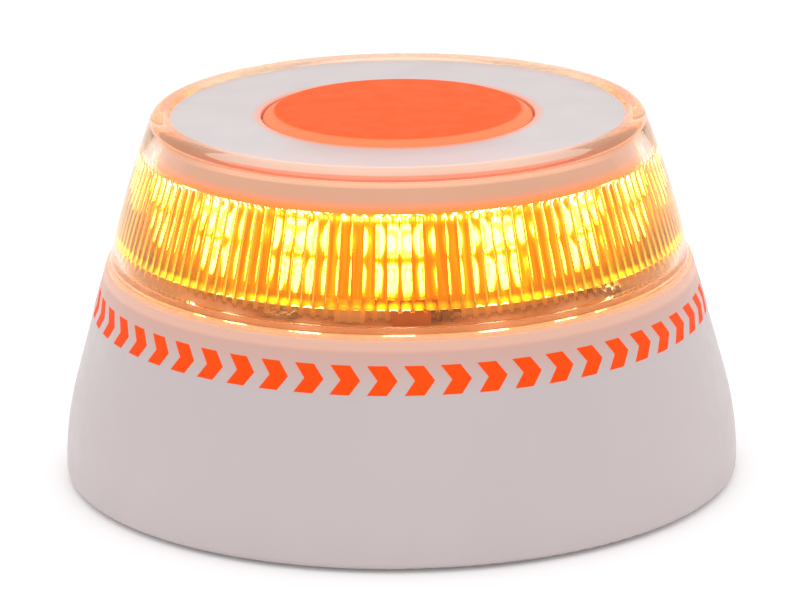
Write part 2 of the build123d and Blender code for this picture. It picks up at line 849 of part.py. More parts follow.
def leaf_contact(middle, side):
    """Contact with a bent leaf spring that presses on a cell's flat end."""
    face = side * (tray_half_x - contact_thickness)
    tip = face - side * (leaf_reach - leaf_gap)
    back = tip + side * leaf_thickness
    half = contact_half_height
    root = half - 2 * leaf_thickness
    outline = [(face, half), (face, root), (back, 0), (face, -root), (face, -half), (tip, 0)]
    profile = Plane.XZ * make_face(Polyline(*outline, close=True))
    leaf = extrude(profile, amount=contact_width / 2, both=True)
    return contact_plate(middle, side) + Pos(0, middle, cell_axis) * leaf


# ---------------------------------------------------------------- main board
def main_board():
    """Round board over the battery tray."""
    board = disc(main_board_radius, main_board_under, main_board_top)
    for place in board_screw_places:
        board -= screw_hole(place, main_board_under - 1, main_board_top + 1)
    return board - tab_slots(main_board_under - 1, main_board_top + 1)


def board_chips():
    """Flat packages on the main board, placed ahead of the ribbon."""
    chips = []
    for size, (x, y) in zip(chip_sizes, chip_places):
        chips.append(block(size, (x, ribbon_y + y), main_board_top))
    return chips


def capacitors():
    """Two upright round capacitors, one on each side of the main board."""
    top = main_board_top + capacitor_height
    places = [(-capacitor_x, 0), (capacitor_x, 0)]
    return [disc(capacitor_radius, main_board_top, top, place) for place in places]


def ribbon_sockets():
    """The ribbon's socket on the main board, and the one under the top board."""
    lower = block(socket_size, (0, ribbon_y), main_board_top)
    upper = block(socket_size, (0, ribbon_y), top_board_under - socket_size[2])
    gap = (ribbon_width + 2 * stem_clearance, ribbon_thickness + 2 * stem_clearance, 2 * ribbon_bite)
    lower -= block(gap, (0, ribbon_y), main_board_top + socket_size[2] - ribbon_bite)
    upper -= block(gap, (0, ribbon_y), top_board_under - socket_size[2] - ribbon_bite)
    return [lower, upper]


def ribbon_cable():
    """Flat ribbon that stands between the two boards."""
    low = main_board_top + socket_size[2] - ribbon_bite
    high = top_board_under - socket_size[2] + ribbon_bite
    return block((ribbon_width, ribbon_thickness, high - low), (0, ribbon_y), low)


# ---------------------------------------------------------------- write the pieces
arrows = chevrons()
save("base_shell", base_shell() - arrows)
save("chevron_band", *arrows)

save("bottom_cover", bottom_cover())
save_screws("cover_screws", cover_screw_places, cover_screw_seat, cover_screw_length, -1)
save("rubber_foot", rubber_foot())

save("battery_door", battery_door())
save("door_seal", door_seal())
save_screws("door_screws", door_screw_places, cover_screw_seat, door_screw_length, -1)
save("magnet", disc(magnet_radius, magnet_bottom, plate_bottom))
save("magnet_plate", disc(magnet_radius, plate_bottom, plate_top))

save("battery_tray", battery_tray())
save_screws("tray_screws", ear_places, tray_flange_top, tray_screw_length, 1)
save("battery_cells", *[battery_cell(middle, side) for middle, side in cell_ends()])
save("flat_contacts", *[contact_plate(middle, side) for middle, side in cell_ends()])
save("leaf_contacts", *[leaf_contact(middle, -side) for middle, side in cell_ends()])

save("main_board", main_board())
save_screws("board_screws", board_screw_places, main_board_top, board_screw_length, 1)
save("modem_module", block(module_size, (0, module_y), main_board_top))
save("board_chips", *board_chips())
save("capacitors", *capacitors())
save("network_antenna", block(whip_size, (0, whip_y), main_board_top))
save("ribbon_sockets", *ribbon_sockets())
save("ribbon_cable", ribbon_cable())

save("lens_dome", lens_dome())
save("lens_seal", lens_seal())
save("led_platform", led_platform())
save_screws("platform_screws", platform_screw_places, platform_top, screw_bite, 1)
save("led_drum", led_drum())
save_screws("drum_screws", drum_screw_places, shelf_top, screw_bite, -1)
save("led_flex", led_flex())
save("upper_leds", *led_row(upper_led_size, upper_led_drop))
save("lower_leds", *led_row(lower_led_size, lower_led_drop))
save("flex_connector", flex_connector())

save("inner_cap", inner_cap())
save("top_board", top_board())
save_screws("top_board_screws", top_screw_places, top_board_top, top_screw_length, 1)
save("tact_switch", tact_switch())
save("switch_plunger", switch_plunger())
save("satellite_antenna", satellite_antenna())
save("push_button", push_button())
save("return_spring", return_spring())
save("stem_seal", stem_seal())
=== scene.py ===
"""Looks of a magnetic roof beacon: a flashing amber safety light, switched on.

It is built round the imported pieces, in their frame: metres, +Z up, front towards -Y.
Sizes below are in millimetres and become metres where a mesh is made.
"""
import math

import bmesh
import bpy
from mathutils import Matrix, Vector


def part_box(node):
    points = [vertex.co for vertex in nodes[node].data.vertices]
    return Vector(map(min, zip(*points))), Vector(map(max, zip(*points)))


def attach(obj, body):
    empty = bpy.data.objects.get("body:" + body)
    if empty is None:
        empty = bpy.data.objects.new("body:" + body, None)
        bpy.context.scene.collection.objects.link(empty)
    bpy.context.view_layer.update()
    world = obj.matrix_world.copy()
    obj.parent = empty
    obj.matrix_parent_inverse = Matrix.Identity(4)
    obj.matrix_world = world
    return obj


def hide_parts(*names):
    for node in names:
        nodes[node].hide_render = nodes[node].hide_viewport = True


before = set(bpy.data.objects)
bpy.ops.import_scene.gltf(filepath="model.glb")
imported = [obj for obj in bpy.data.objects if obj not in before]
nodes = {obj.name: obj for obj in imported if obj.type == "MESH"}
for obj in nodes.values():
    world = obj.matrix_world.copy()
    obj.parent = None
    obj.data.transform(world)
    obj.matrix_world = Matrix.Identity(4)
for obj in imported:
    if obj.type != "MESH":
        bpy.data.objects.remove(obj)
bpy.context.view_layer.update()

MM = 0.001
TURN = 2 * math.pi


# ---------------------------------------------------------------- sizes read from the frame
def top_of(node):
    """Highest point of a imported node."""
    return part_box(node)[1].z / MM


def bottom_of(node):
    """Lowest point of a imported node."""
    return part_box(node)[0].z / MM


def reach_of(node):
    """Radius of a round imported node."""
    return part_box(node)[1].x / MM


def middle_of(node):
    """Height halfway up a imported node."""
    return (top_of(node) + bottom_of(node)) / 2


seam_height = top_of("base_shell")
overall_height = top_of("lens_dome")
plug_bottom = bottom_of("lens_dome")
lens_foot_radius = reach_of("lens_dome")
platform_top = bottom_of("led_drum")
flex_radius = reach_of("led_flex")
upper_row = middle_of("upper_leds")
lower_row = middle_of("lower_leds")
cap_top = top_of("inner_cap")
button_top = top_of("push_button")

# ---------------------------------------------------------------- sizes of the visible pieces
base_slope = 6.6 / 23.9        # how far the side leans in for each millimetre up
seam_radius = 43.4

lens_foot_height = 0.45
lens_foot_step = 0.35
lens_wall = 2.2
lens_belly = 0.5
lens_top_edge = 36.0
lens_recess_edge = 33.8
lens_rim_height = 0.8
lens_rim_lean = 0.4
lens_flat_edge = lens_recess_edge - lens_rim_lean
lens_rim_round = 1.6
lens_top_thickness = 1.5
lens_hole = 20.1
lens_floor = 0.9
plug_radius = 41.0
plug_bore = 38.7
lip_bore = 37.1
lip_height = 1.0
groove_radius = 39.9
groove_height = 1.3

flute_count = 144
flute_columns = 8              # mesh columns across one flute
flute_depth = 0.35
flute_lift = 2.5
flute_end = 0.9                # height over which a flute swells to its full depth
flute_end_steps = 4
flute_overlap = 0.3            # flutes end above the cap's lower edge
acrylic_ior = 1.49

cap_side_gap = 0.5
cap_thickness = 1.4
cap_skirt_height = 4.2
cap_edge_round = 0.9
well_radius = 22.0
well_wall = 1.2
well_depth = 4.5
well_floor = 1.2
bush_radius = 5.25
bush_bore = 3.05
bush_height = 3.0

button_radius = 19.8
button_face = 18.0
button_bevel = 1.05
button_skin = 2.2
button_skirt_wall = 1.6
button_flange_radius = 21.4
button_flange_height = 1.2
stem_radius = 3.0

arrow_count = 54
arrow_height = 4.0
arrow_arm = 2.8
arrow_tip = 1.5
arrow_depth = 0.28
arrow_proud = 0.02
arrow_drop = 5.3
arrow_rows = 8
arrow_columns = 4

round_segments = 256           # faces round a turned piece
fine_edge = 0.2                # roundings of edges
soft_edge = 0.3

led_count = 14
upper_led = (3.4, 3.2, 1.3)    # along the ring, up, outwards
lower_led = (2.4, 1.7, 1.0)
led_frame = 0.3                # rim round an LED's window
window_lip = 0.12
window_sink = 0.22
gel_slope = 0.3                # the gel's rise from its edge, and its low crown
gel_rise = 0.12
crown_slope = 0.25
crown_rise = 0.04


# ---------------------------------------------------------------- zones of light on the lens
# Each pair says where a zone begins to show and where it is full.
front_reach = (-16.0, -30.0)   # along Y
back_reach = (4.0, 24.0)
brim_level = (0.9, 0.94)       # as a share of the lens's height
back_level = (0.84, 0.88)
flat_level = (0.86, 0.88)
arc_top = (0.6, 0.9)           # below the rim's top
arc_foot = (1.8, 1.55)
gleam_top = (1.6, 1.9)
gleam_foot = (2.6, 2.2)
sole_height = (0.75, 0.5)      # above the seam
foot_height = (0.9, 0.5)
bead_height = (1.2, 0.3)       # above the flutes' lower end
bead_distance = (5.0, 1.0)     # from the nearest LED, round the lens
button_reflection_ring = (1.8, 0.2)        # outside the button's hole
flat_ring = (0.0, -0.1)        # outside the flat top's edge, as is the next
brim_ring = (0.0, 0.8)

# ---------------------------------------------------------------- light and gloss of the finishes
sole_cloud = 0.45              # how far the lens's sole is from clear
satin_roughness = 0.3
back_alpha = 0.55
foot_glow = 0.18
brim_glow = 0.1
arc_glow = 0.12
gleam_glow = 0.25
bead_glow = (0.7, 2.6)         # far from an LED, and next to it
streak_glow = (0.02, 0.35)     # the dullest and the brightest crown
streak_width = 6.0             # power: the higher, the narrower

# reach and strength of the painted LED light on the shell: a warm wash, and a thin glow just below
# the seam
shell_painted_wash = (9.0, 1.0)       # below the seam, as is the next
shell_painted_leak = (1.9, 1.1)
painted_wash_glow = 0.02
painted_leak_glow = 0.14
# where and how strongly LED light is painted on the cap
cap_edge = (0.2, 0.9)          # below the cap's top
cap_edge_glow = 0.1
cap_glow_start = 1.6
cap_glow = 0.5
# painted highlight on the button's bevel, and the button's painted glow
bevel_highlight_ring = (-0.1, 0.5)       # outside the button's face
painted_button_glow = 0.06
painted_ink_glow = 0.25
matt_gloss = 0.15

upper_halo = (1.8, 3.6)        # round an LED: white-hot inside, plain board outside
lower_halo = (1.1, 2.7)
halo_spread = 0.6
halo_hang = 0.5
crest_reach = (1.8, 3.0)       # above the upper row
crest_share = 0.3
streak_size = 0.9
streak_squash = 0.06           # the lower, the longer the streaks
streak_shift = (-0.3, 0.08)
flex_heat = 9.0
flex_glow = 0.9
led_glow = (11.0, 5.0)         # window, and body
drum_fade = 4.0
drum_glow = (0.1, 0.4)
platform_ring = (38.0, 30.0)
platform_glow = 0.05
painted_connector_glow = 0.12


# ---------------------------------------------------------------- short calls for node trees
class Graph:
    """Lays out the nodes of one tree."""

    def __init__(self, tree):
        self.tree = tree

    def feed(self, socket, value):
        """Link a socket from another one, or give it a plain value."""
        if isinstance(value, bpy.types.NodeSocket):
            self.tree.links.new(value, socket)
        else:
            socket.default_value = value

    def node(self, kind, *values, named=None, **settings):
        """New node. values fill its inputs in order, named fills them by name."""
        made = self.tree.nodes.new(kind)
        for setting, value in settings.items():
            setattr(made, setting, value)
        for socket, value in zip(made.inputs, values):
            if value is not None:
                self.feed(socket, value)
        for name, value in (named or {}).items():
            self.feed(made.inputs[name], value)
        return made

    def maths(self, operation, *values):
        """Result of a Math node."""
        return self.node("ShaderNodeMath", *values, operation=operation).outputs[0]

    def times(self, *values):
        """Product of its values."""
        product = values[0]
        for value in values[1:]:
            product = self.maths("MULTIPLY", product, value)
        return product

    def without(self, share):
        """What a share leaves of one."""
        return self.maths("SUBTRACT", 1.0, share)

    def ease(self, value, low, high, first=0.0, last=1.0):
        """value carried smoothly from low..high to first..last."""
        made = self.node("ShaderNodeMapRange", value, low, high, first, last,
                         interpolation_type="SMOOTHSTEP")
        return made.outputs[0]

    def mixed(self, share, first, second):
        """Colour between two colours."""
        made = self.node("ShaderNodeMix", data_type="RGBA")
        for number, value in ((0, share), (6, first), (7, second)):
            self.feed(made.inputs[number], value)
        return made.outputs[2]

    def place(self):
        """X, Y and Z of the point on the object."""
        spot = self.node("ShaderNodeTexCoord").outputs["Object"]
        return self.node("ShaderNodeSeparateXYZ", spot).outputs

    def radius(self):
        """Distance of the point from the upright axis."""
        squares = [self.times(length, length) for length in self.place()[:2]]
        return self.maths("SQRT", self.maths("ADD", *squares))

    def noise(self, size, detail=2.0, stretch=(1.0, 1.0, 1.0)):
        """Noise whose lumps are about size millimetres across."""
        spot = self.node("ShaderNodeTexCoord").outputs["Object"]
        named = {"Vector": spot, "Scale": stretch}
        drawn = self.node("ShaderNodeMapping", named=named).outputs[0]
        named = {"Vector": drawn, "Scale": 1 / (size * MM), "Detail": detail}
        return self.node("ShaderNodeTexNoise", named=named).outputs["Fac"]


def metres(*lengths):
    """Lengths in metres, from millimetres."""
    return [length * MM for length in lengths]


def rgb(red, green, blue):
    """Linear colour with alpha, from the usual 0 to 255 display values."""
    shares = [value / 255 for value in (red, green, blue)]
    linear = [s / 12.92 if s <= 0.04045 else ((s + 0.055) / 1.055) ** 2.4 for s in shares]
    return (*linear, 1.0)


# ---------------------------------------------------------------- finishes
shell_grey = rgb(197, 186, 186)
# the lens's tints, copper_tint to red_tint, are painted LED light and painted reflections: the
# acrylic itself is clear
copper_tint = (0.92, 0.55, 0.36, 1.0)
peach_tint = (1.0, 0.75, 0.56, 1.0)
amber_tint = (1.0, 0.68, 0.06, 1.0)
light_amber_tint = (1.0, 0.68, 0.08, 1.0)
blush_tint = (1.0, 0.8, 0.68, 1.0)
orange_tint = (1.0, 0.5, 0.28, 1.0)
pale_tint = (1.0, 0.84, 0.76, 1.0)
red_tint = (0.95, 0.27, 0.17, 1.0)
amber_reflection = (1.0, 0.74, 0.38, 1.0)
faint_amber = (1.0, 0.9, 0.8, 1.0)


def plain_finish(name):
    """New material, its graph and its main shader."""
    material = bpy.data.materials.new(name)
    material.use_nodes = True
    graph = Graph(material.node_tree)
    return material, graph, material.node_tree.nodes["Principled BSDF"]


def moulded_plastic(name, colour, roughness=0.42, grain=0.35, relief=0.006, drift=0.06):
    """Injection-moulded plastic: spark-eroded grain, faint flow marks and uneven gloss.

    grain and relief are the width and height of the grain in millimetres, and drift is how
    much darker the flow marks are.
    """
    material, graph, shader = plain_finish(name)
    flow = graph.noise(14.0, detail=3.0, stretch=(1.0, 1.0, 0.35))
    dark = tuple(channel * (1 - drift) for channel in colour[:3]) + (1.0,)
    graph.feed(shader.inputs["Base Color"], graph.mixed(graph.ease(flow, 0.35, 0.65), dark, colour))
    patch = graph.noise(3.0, detail=4.0)
    gloss = graph.ease(patch, 0.3, 0.7, roughness - 0.05, roughness + 0.05)
    graph.feed(shader.inputs["Roughness"], gloss)
    bumps = graph.noise(grain, detail=3.0)
    named = {"Strength": 0.35, "Distance": relief * MM, "Height": bumps}
    graph.feed(shader.inputs["Normal"], graph.node("ShaderNodeBump", named=named).outputs[0])
    return material, graph, shader


def amber_wash(graph, shader, colour, strength):
    """Glow laid on as emission: the LEDs' own light, or their light painted on pale plastic and
    other parts that are no lamps.
    """
    graph.feed(shader.inputs["Emission Color"], colour)
    graph.feed(shader.inputs["Emission Strength"], strength)


def shell_finish():
    """Pale satin shell with painted LED light: its colour is painted warm towards the seam, and a
    painted thin line of glow stands for the light that leaks out there.
    """
    material, graph, shader = moulded_plastic(
        "satin_shell", shell_grey, roughness=0.4, grain=0.3, relief=0.008, drift=0.02)
    height = graph.place()[2]
    painted_light = graph.ease(height, *metres(*[seam_height - drop for drop in shell_painted_wash]))
    pale = shader.inputs["Base Color"].links[0].from_socket
    graph.feed(shader.inputs["Base Color"], graph.mixed(painted_light, pale, rgb(206, 166, 153)))
    painted_leak = graph.ease(height, *metres(*[seam_height - drop for drop in shell_painted_leak]))
    colour = graph.mixed(painted_leak, rgb(255, 96, 40), rgb(255, 186, 118))
    strength = graph.maths("MULTIPLY_ADD", painted_leak, painted_leak_glow, graph.times(painted_light, painted_wash_glow))
    amber_wash(graph, shader, colour, strength)
    return material


def arrow_finish():
    """Fluorescent orange print: mottled ink with a painted glow, so that it gives back more red
    than falls on it.
    """
    material, graph, shader = moulded_plastic(
        "arrow_print", rgb(232, 74, 0), roughness=0.6, grain=0.12, relief=0.01, drift=0.05)
    shader.inputs["Specular IOR Level"].default_value = matt_gloss
    amber_wash(graph, shader, rgb(255, 50, 0), painted_ink_glow)
    return material


def cap_finish():
    """White cap with painted LED light: a painted red glow rims its edge, and its skirt is painted
    orange towards the lit band.
    """
    material, graph, shader = moulded_plastic(
        "white_cap", rgb(206, 197, 198), roughness=0.4, grain=0.3, relief=0.006, drift=0.02)
    height = graph.place()[2]
    skirt_low = cap_top - cap_skirt_height
    edge_glow = graph.ease(height, *metres(*[cap_top - drop for drop in cap_edge]), 0.0, cap_edge_glow)
    lit = graph.ease(height, *metres(cap_top - cap_glow_start, skirt_low))
    glow = graph.maths("POWER", lit, 1.5)
    colour = graph.mixed(glow, rgb(255, 90, 60), rgb(255, 150, 20))
    pale = shader.inputs["Base Color"].links[0].from_socket
    graph.feed(shader.inputs["Base Color"], graph.mixed(glow, pale, rgb(214, 140, 96)))
    amber_wash(graph, shader, colour, graph.maths("MULTIPLY_ADD", glow, cap_glow, edge_glow))
    return material


def button_finish():
    """Soft orange button with a fine matt grain, a painted highlight that makes its bevel paler,
    and a faint painted glow.
    """
    material, graph, shader = moulded_plastic(
        "orange_button", rgb(238, 90, 14), roughness=0.6, grain=0.25, relief=0.01, drift=0.03)
    shader.inputs["Specular IOR Level"].default_value = matt_gloss
    edge = [button_face + out for out in bevel_highlight_ring]
    bevel_highlight = graph.ease(graph.radius(), *metres(*edge))
    deep = shader.inputs["Base Color"].links[0].from_socket
    graph.feed(shader.inputs["Base Color"], graph.mixed(bevel_highlight, deep, rgb(250, 140, 92)))
    amber_wash(graph, shader, rgb(255, 70, 16), painted_button_glow)
    return material


def lens_finish():
    """Clear acrylic in amber light, with a white satin layer on its flat top.

    Light from lamps and pale surfaces passes it straight.
    """
    material, graph, shader = plain_finish("clear_lens")
    shader.inputs["IOR"].default_value = acrylic_ior
    shader.inputs["Specular Tint"].default_value = amber_reflection
    zones = lens_zones(graph)
    graph.feed(shader.inputs["Base Color"], lens_colour(graph, zones))
    cloudy = graph.maths("MULTIPLY_ADD", zones["sole"], sole_cloud, zones["flat"])
    graph.feed(shader.inputs["Transmission Weight"], graph.without(cloudy))
    graph.feed(shader.inputs["Roughness"], graph.times(zones["flat"], satin_roughness))
    thin = graph.times(zones["back"], graph.without(zones["flat"]))
    graph.feed(shader.inputs["Alpha"], graph.ease(thin, 0.0, 1.0, 1.0, back_alpha))
    amber_wash(graph, shader, *lens_light(graph, zones))
    clear = graph.node("ShaderNodeBsdfTransparent", faint_amber).outputs[0]
    path = graph.node("ShaderNodeLightPath").outputs
    result = shader.outputs[0]
    for passes in ("Is Shadow Ray", "Is Diffuse Ray"):
        result = graph.node("ShaderNodeMixShader", path[passes], result, clear).outputs[0]
    graph.feed(material.node_tree.nodes["Material Output"].inputs["Surface"], result)
    return material


def lens_zones(graph):
    """Shares, from none to full, of the lens's parts at a point."""
    ahead, height = graph.place()[1:]
    radius = graph.radius()
    level = lens_level(graph)
    sunk = graph.maths("MULTIPLY_ADD", height, -1 / MM, overall_height)
    front = graph.ease(ahead, *metres(*front_reach))
    back = graph.ease(ahead, *metres(*back_reach))
    brim = graph.ease(level, *brim_level)
    inside, outside = [
        graph.ease(radius, *metres(*[lens_flat_edge + out for out in ring]))
        for ring in (flat_ring, brim_ring)
    ]
    sole = [seam_height + rise for rise in sole_height]
    # front brim, red arc and gleam lie at the front only: a painted pale brim, a painted red arc of
    # reflection and a painted highlight line
    return {
        "brim": brim,
        "front brim": graph.times(brim, front),
        "outer brim": graph.times(outside, brim),
        "flat": graph.times(inside, graph.ease(level, *flat_level)),
        "back": graph.times(back, graph.ease(level, *back_level)),
        "red arc": graph.times(graph.ease(sunk, *arc_top), graph.ease(sunk, *arc_foot), front),
        "gleam": graph.times(graph.ease(sunk, *gleam_top), graph.ease(sunk, *gleam_foot), front),
        "sole": graph.ease(height, *metres(*sole)),
    }


def lens_level(graph):
    """Height of a point on the lens, as a share of the way from the seam to the top."""
    span = overall_height - seam_height
    return graph.maths("MULTIPLY_ADD", graph.place()[2], 1 / (span * MM), -seam_height / span)


def lens_colour(graph, zones):
    """Tint of the clear plastic, painted with LED light from foot to rim, and the satin layer with
    a painted reflection of the button round its hole.
    """
    stops = [
        (0.03, copper_tint),
        (0.05, peach_tint),
        (0.15, peach_tint),
        (0.18, amber_tint),
        (0.68, light_amber_tint),
        (0.76, blush_tint),
        (0.9, blush_tint),
        (0.93, orange_tint),
    ]
    tint = ramp(graph, lens_level(graph), stops)
    # painted pale brim and painted red arc of reflection, at the front only
    tint = graph.mixed(zones["front brim"], tint, pale_tint)
    tint = graph.mixed(zones["red arc"], tint, red_tint)
    patch = graph.ease(graph.noise(9.0), 0.35, 0.65)
    satin = graph.mixed(patch, rgb(195, 187, 189), rgb(199, 191, 193))
    # painted orange reflection of the button on the satin layer, round its hole
    ring = [lens_hole + width for width in button_reflection_ring]
    painted_light = graph.ease(graph.radius(), *metres(*ring))
    satin = graph.mixed(painted_light, satin, rgb(232, 160, 138))
    return graph.mixed(zones["flat"], tint, satin)


def lens_light(graph, zones):
    """Colour and strength of the light caught in the flutes, the foot and the rim."""
    lit = flute_light(graph)
    height = graph.place()[2]
    low = [seam_height + rise for rise in foot_height]
    foot = graph.ease(height, *metres(*low), 0.0, foot_glow)
    gleam = graph.times(zones["gleam"], gleam_glow)
    edge = graph.maths("ADD", graph.times(zones["red arc"], arc_glow), gleam)
    edge = graph.maths("MULTIPLY_ADD", zones["outer brim"], brim_glow, edge)
    colour = graph.mixed(zones["brim"], rgb(255, 176, 118), rgb(255, 146, 76))
    colour = graph.mixed(zones["gleam"], colour, rgb(255, 196, 160))
    colour = graph.mixed(zones["red arc"], colour, rgb(255, 90, 60))
    colour = graph.mixed(graph.ease(lit, 0.0, 0.05), colour, rgb(255, 214, 30))
    return colour, graph.maths("ADD", lit, graph.maths("ADD", edge, foot))


def flute_light(graph):
    """Strength of the light in the flutes: a bead at each foot, and a streak down some crowns."""
    across, ahead, height = graph.place()
    turn = graph.maths("MULTIPLY_ADD", graph.maths("ARCTAN2", ahead, across), 1 / TURN, 1.0)
    column = graph.times(turn, flute_count)
    aside = graph.maths("MULTIPLY_ADD", graph.maths("FRACT", column), 2.0, -1.0)
    crown = graph.without(graph.times(aside, aside))
    number = graph.maths("FLOOR", column)
    chance = graph.node("ShaderNodeTexWhiteNoise", None, number, noise_dimensions="1D")
    near = graph.ease(distance_to_led(graph, lower_row, 0.0), *bead_distance, *bead_glow)
    low = [seam_height + lens_floor + flute_lift + rise for rise in bead_height]
    drop = graph.ease(height, *metres(*low))
    bead = graph.times(drop, crown, near)
    strength = graph.ease(chance.outputs["Value"], 0.2, 1.0, *streak_glow)
    streak = graph.times(graph.maths("POWER", crown, streak_width), strength)
    flute = graph.node("ShaderNodeAttribute", attribute_name="flute_share").outputs["Fac"]
    return graph.times(graph.maths("ADD", bead, streak), flute)


def distance_to_led(graph, row, upright=1.0, hang=1.0, spread=1.0):
    """Distance in millimetres to the nearest LED of a row, over the drum's side.

    upright scales distances in height, hang scales those below the LED again, and spread
    scales those along the row.
    """
    across, ahead, height = graph.place()
    turn = graph.maths("ARCTAN2", ahead, across)
    step = TURN / led_count
    # counted in LEDs from the front, a turn and a quarter on from +X so that it stays positive
    share = graph.maths("MULTIPLY_ADD", turn, 1 / step, led_count * 1.25 + 0.5)
    aside = graph.maths("SUBTRACT", graph.maths("FRACT", share), 0.5)
    along = graph.times(aside, step * flex_radius * spread)
    rise = graph.maths("MULTIPLY_ADD", height, upright / MM, -row * upright)
    far = graph.maths("MAXIMUM", rise, graph.times(rise, -hang))
    squares = [graph.times(length, length) for length in (along, far)]
    return graph.maths("SQRT", graph.maths("ADD", *squares))


def ramp(graph, share, stops):
    """Colour read from a ramp of (position, colour) stops."""
    made = graph.node("ShaderNodeValToRGB", share)
    elements = made.color_ramp.elements
    while len(elements) < len(stops):
        elements.new(0.5)
    for element, (position, colour) in zip(elements, stops):
        element.position = position
        element.color = colour
    return made.outputs[0]


def flex_finish():
    """Amber board flooded by its LEDs: white-hot at each, then yellow, then streaky deep orange."""
    material, graph, shader = plain_finish("lit_flex_board")
    shader.inputs["Base Color"].default_value = rgb(196, 92, 12)
    upper = graph.ease(distance_to_led(graph, upper_row, spread=halo_spread), *upper_halo)
    far = distance_to_led(graph, lower_row, hang=halo_hang, spread=halo_spread)
    lower = graph.ease(far, *lower_halo)
    near = graph.maths("MINIMUM", upper, lower)
    streaks = graph.noise(streak_size, stretch=(1.0, 1.0, streak_squash))
    streaks = graph.ease(streaks, 0.35, 0.65, *streak_shift)
    height = graph.place()[2]
    edge = [upper_row + rise for rise in crest_reach]
    crest = graph.ease(height, *metres(*edge), 1.0, crest_share)
    share = graph.maths("ADD", graph.maths("MINIMUM", near, crest), streaks)
    stops = [
        (0.0, (1.0, 0.95, 0.95, 1.0)),
        (0.25, (1.0, 0.85, 0.04, 1.0)),
        (0.6, (1.0, 0.6, 0.0, 1.0)),
        (1.0, (0.85, 0.24, 0.0, 1.0)),
    ]
    heat = graph.maths("POWER", graph.ease(share, 0.4, 0.0), 2.0)
    strength = graph.maths("MULTIPLY_ADD", heat, flex_heat, flex_glow)
    amber_wash(graph, shader, ramp(graph, share, stops), strength)
    graph.feed(shader.inputs["Roughness"], graph.ease(graph.noise(0.8), 0.3, 0.7, 0.35, 0.55))
    return material


def led_finish(name, row, size):
    """LED package: a white-hot window in an amber body."""
    material, graph, shader = plain_finish(name)
    shader.inputs["Base Color"].default_value = rgb(250, 214, 120)
    speck = graph.ease(graph.noise(0.3), 0.3, 0.7, -0.06, 0.06)
    share = graph.maths("ADD", graph.ease(distance_to_led(graph, row), size * 0.4, size), speck)
    stops = [
        (0.0, (1.0, 0.97, 1.0, 1.0)),
        (0.6, (1.0, 0.9, 0.7, 1.0)),
        (1.0, (1.0, 0.75, 0.2, 1.0)),
    ]
    amber_wash(graph, shader, ramp(graph, share, stops), graph.ease(share, 0.3, 1.2, *led_glow))
    shader.inputs["Roughness"].default_value = 0.3
    return material


def drum_finish():
    """White drum flooded with amber light at its foot."""
    # the drum is white: this amber-tan colour is painted LED light, as is the glow at its foot
    pale = rgb(216, 170, 120)
    material, graph, shader = moulded_plastic("lit_drum", pale, roughness=0.45)
    height = graph.place()[2]
    glow = graph.ease(height, *metres(platform_top, platform_top + drum_fade), *drum_glow)
    amber_wash(graph, shader, rgb(255, 150, 40), glow)
    return material


def platform_finish():
    """Tan plate lit from the drum outwards."""
    tan = rgb(148, 104, 78)
    material, graph, shader = moulded_plastic("tan_platform", tan, roughness=0.5)
    glow = graph.ease(graph.radius(), *metres(*platform_ring), 0.0, platform_glow)
    amber_wash(graph, shader, rgb(255, 120, 40), glow)
    return material


def connector_finish():
    """Brown moulded connector with painted amber LED light on it."""
    brown = rgb(190, 104, 44)
    material, graph, shader = moulded_plastic("brown_connector", brown, roughness=0.4)
    amber_wash(graph, shader, rgb(215, 90, 15), painted_connector_glow)
    return material


def metal(name, colour, roughness=0.3):
    """Plated metal with fine turning marks."""
    material, graph, shader = plain_finish(name)
    shader.inputs["Metallic"].default_value = 1.0
    marks = graph.noise(0.5, detail=4.0, stretch=(1.0, 1.0, 6.0))
    dull = tuple(channel * 0.8 for channel in colour[:3]) + (1.0,)
    graph.feed(shader.inputs["Base Color"], graph.mixed(marks, dull, colour))
    gloss = graph.ease(marks, 0.3, 0.7, roughness - 0.08, roughness + 0.1)
    graph.feed(shader.inputs["Roughness"], gloss)
    return material


def rubber(name, colour):
    """Matt rubber with a coarse bloom."""
    return moulded_plastic(name, colour, roughness=0.8, grain=0.2, relief=0.02, drift=0.3)[0]


def board(name, colour, copper):
    """Solder mask over faint tracks."""
    material, graph, shader = plain_finish(name)
    tracks = graph.noise(1.2, detail=0.0, stretch=(1.0, 0.25, 1.0))
    tracks = graph.ease(tracks, 0.55, 0.58)
    graph.feed(shader.inputs["Base Color"], graph.mixed(tracks, colour, copper))
    shader.inputs["Roughness"].default_value = 0.35
    return material


# ---------------------------------------------------------------- shape helpers
def inside_of_lens(height):
    """Radius of the lens's inner side at a height."""
    foot = lens_foot_radius - lens_foot_step
    low = seam_height + lens_foot_height
    slope = (foot - lens_top_edge) / (overall_height - low)
    return foot - slope * (height - low) - lens_wall


def bowed(start, end, bulge, steps=14):
    """Points between two ends, on a shallow bow to the right of the way from start to end."""
    start, end = Vector(start), Vector(end)
    run = end - start
    out = Vector((run.y, -run.x)).normalized() * bulge
    shares = [step / steps for step in range(1, steps)]
    return [tuple(start + run * share + out * 4 * share * (1 - share)) for share in shares]


def rounded(corners, steps=4):
    """Closed outline from (radius, height) corners; a third number rounds that corner."""
    outline = []
    for number, corner in enumerate(corners):
        here = Vector(corner[:2])
        if len(corner) < 3:
            outline.append(here)
            continue
        back = (Vector(corners[number - 1][:2]) - here).normalized()
        ahead = (Vector(corners[(number + 1) % len(corners)][:2]) - here).normalized()
        half = back.angle(ahead) / 2
        centre = here + (back + ahead).normalized() * corner[2] / math.sin(half)
        first = (here + back * corner[2] / math.tan(half) - centre).normalized()
        last = (here + ahead * corner[2] / math.tan(half) - centre).normalized()
        for step in range(steps + 1):
            outline.append(centre + first.slerp(last, step / steps) * corner[2])
    return outline


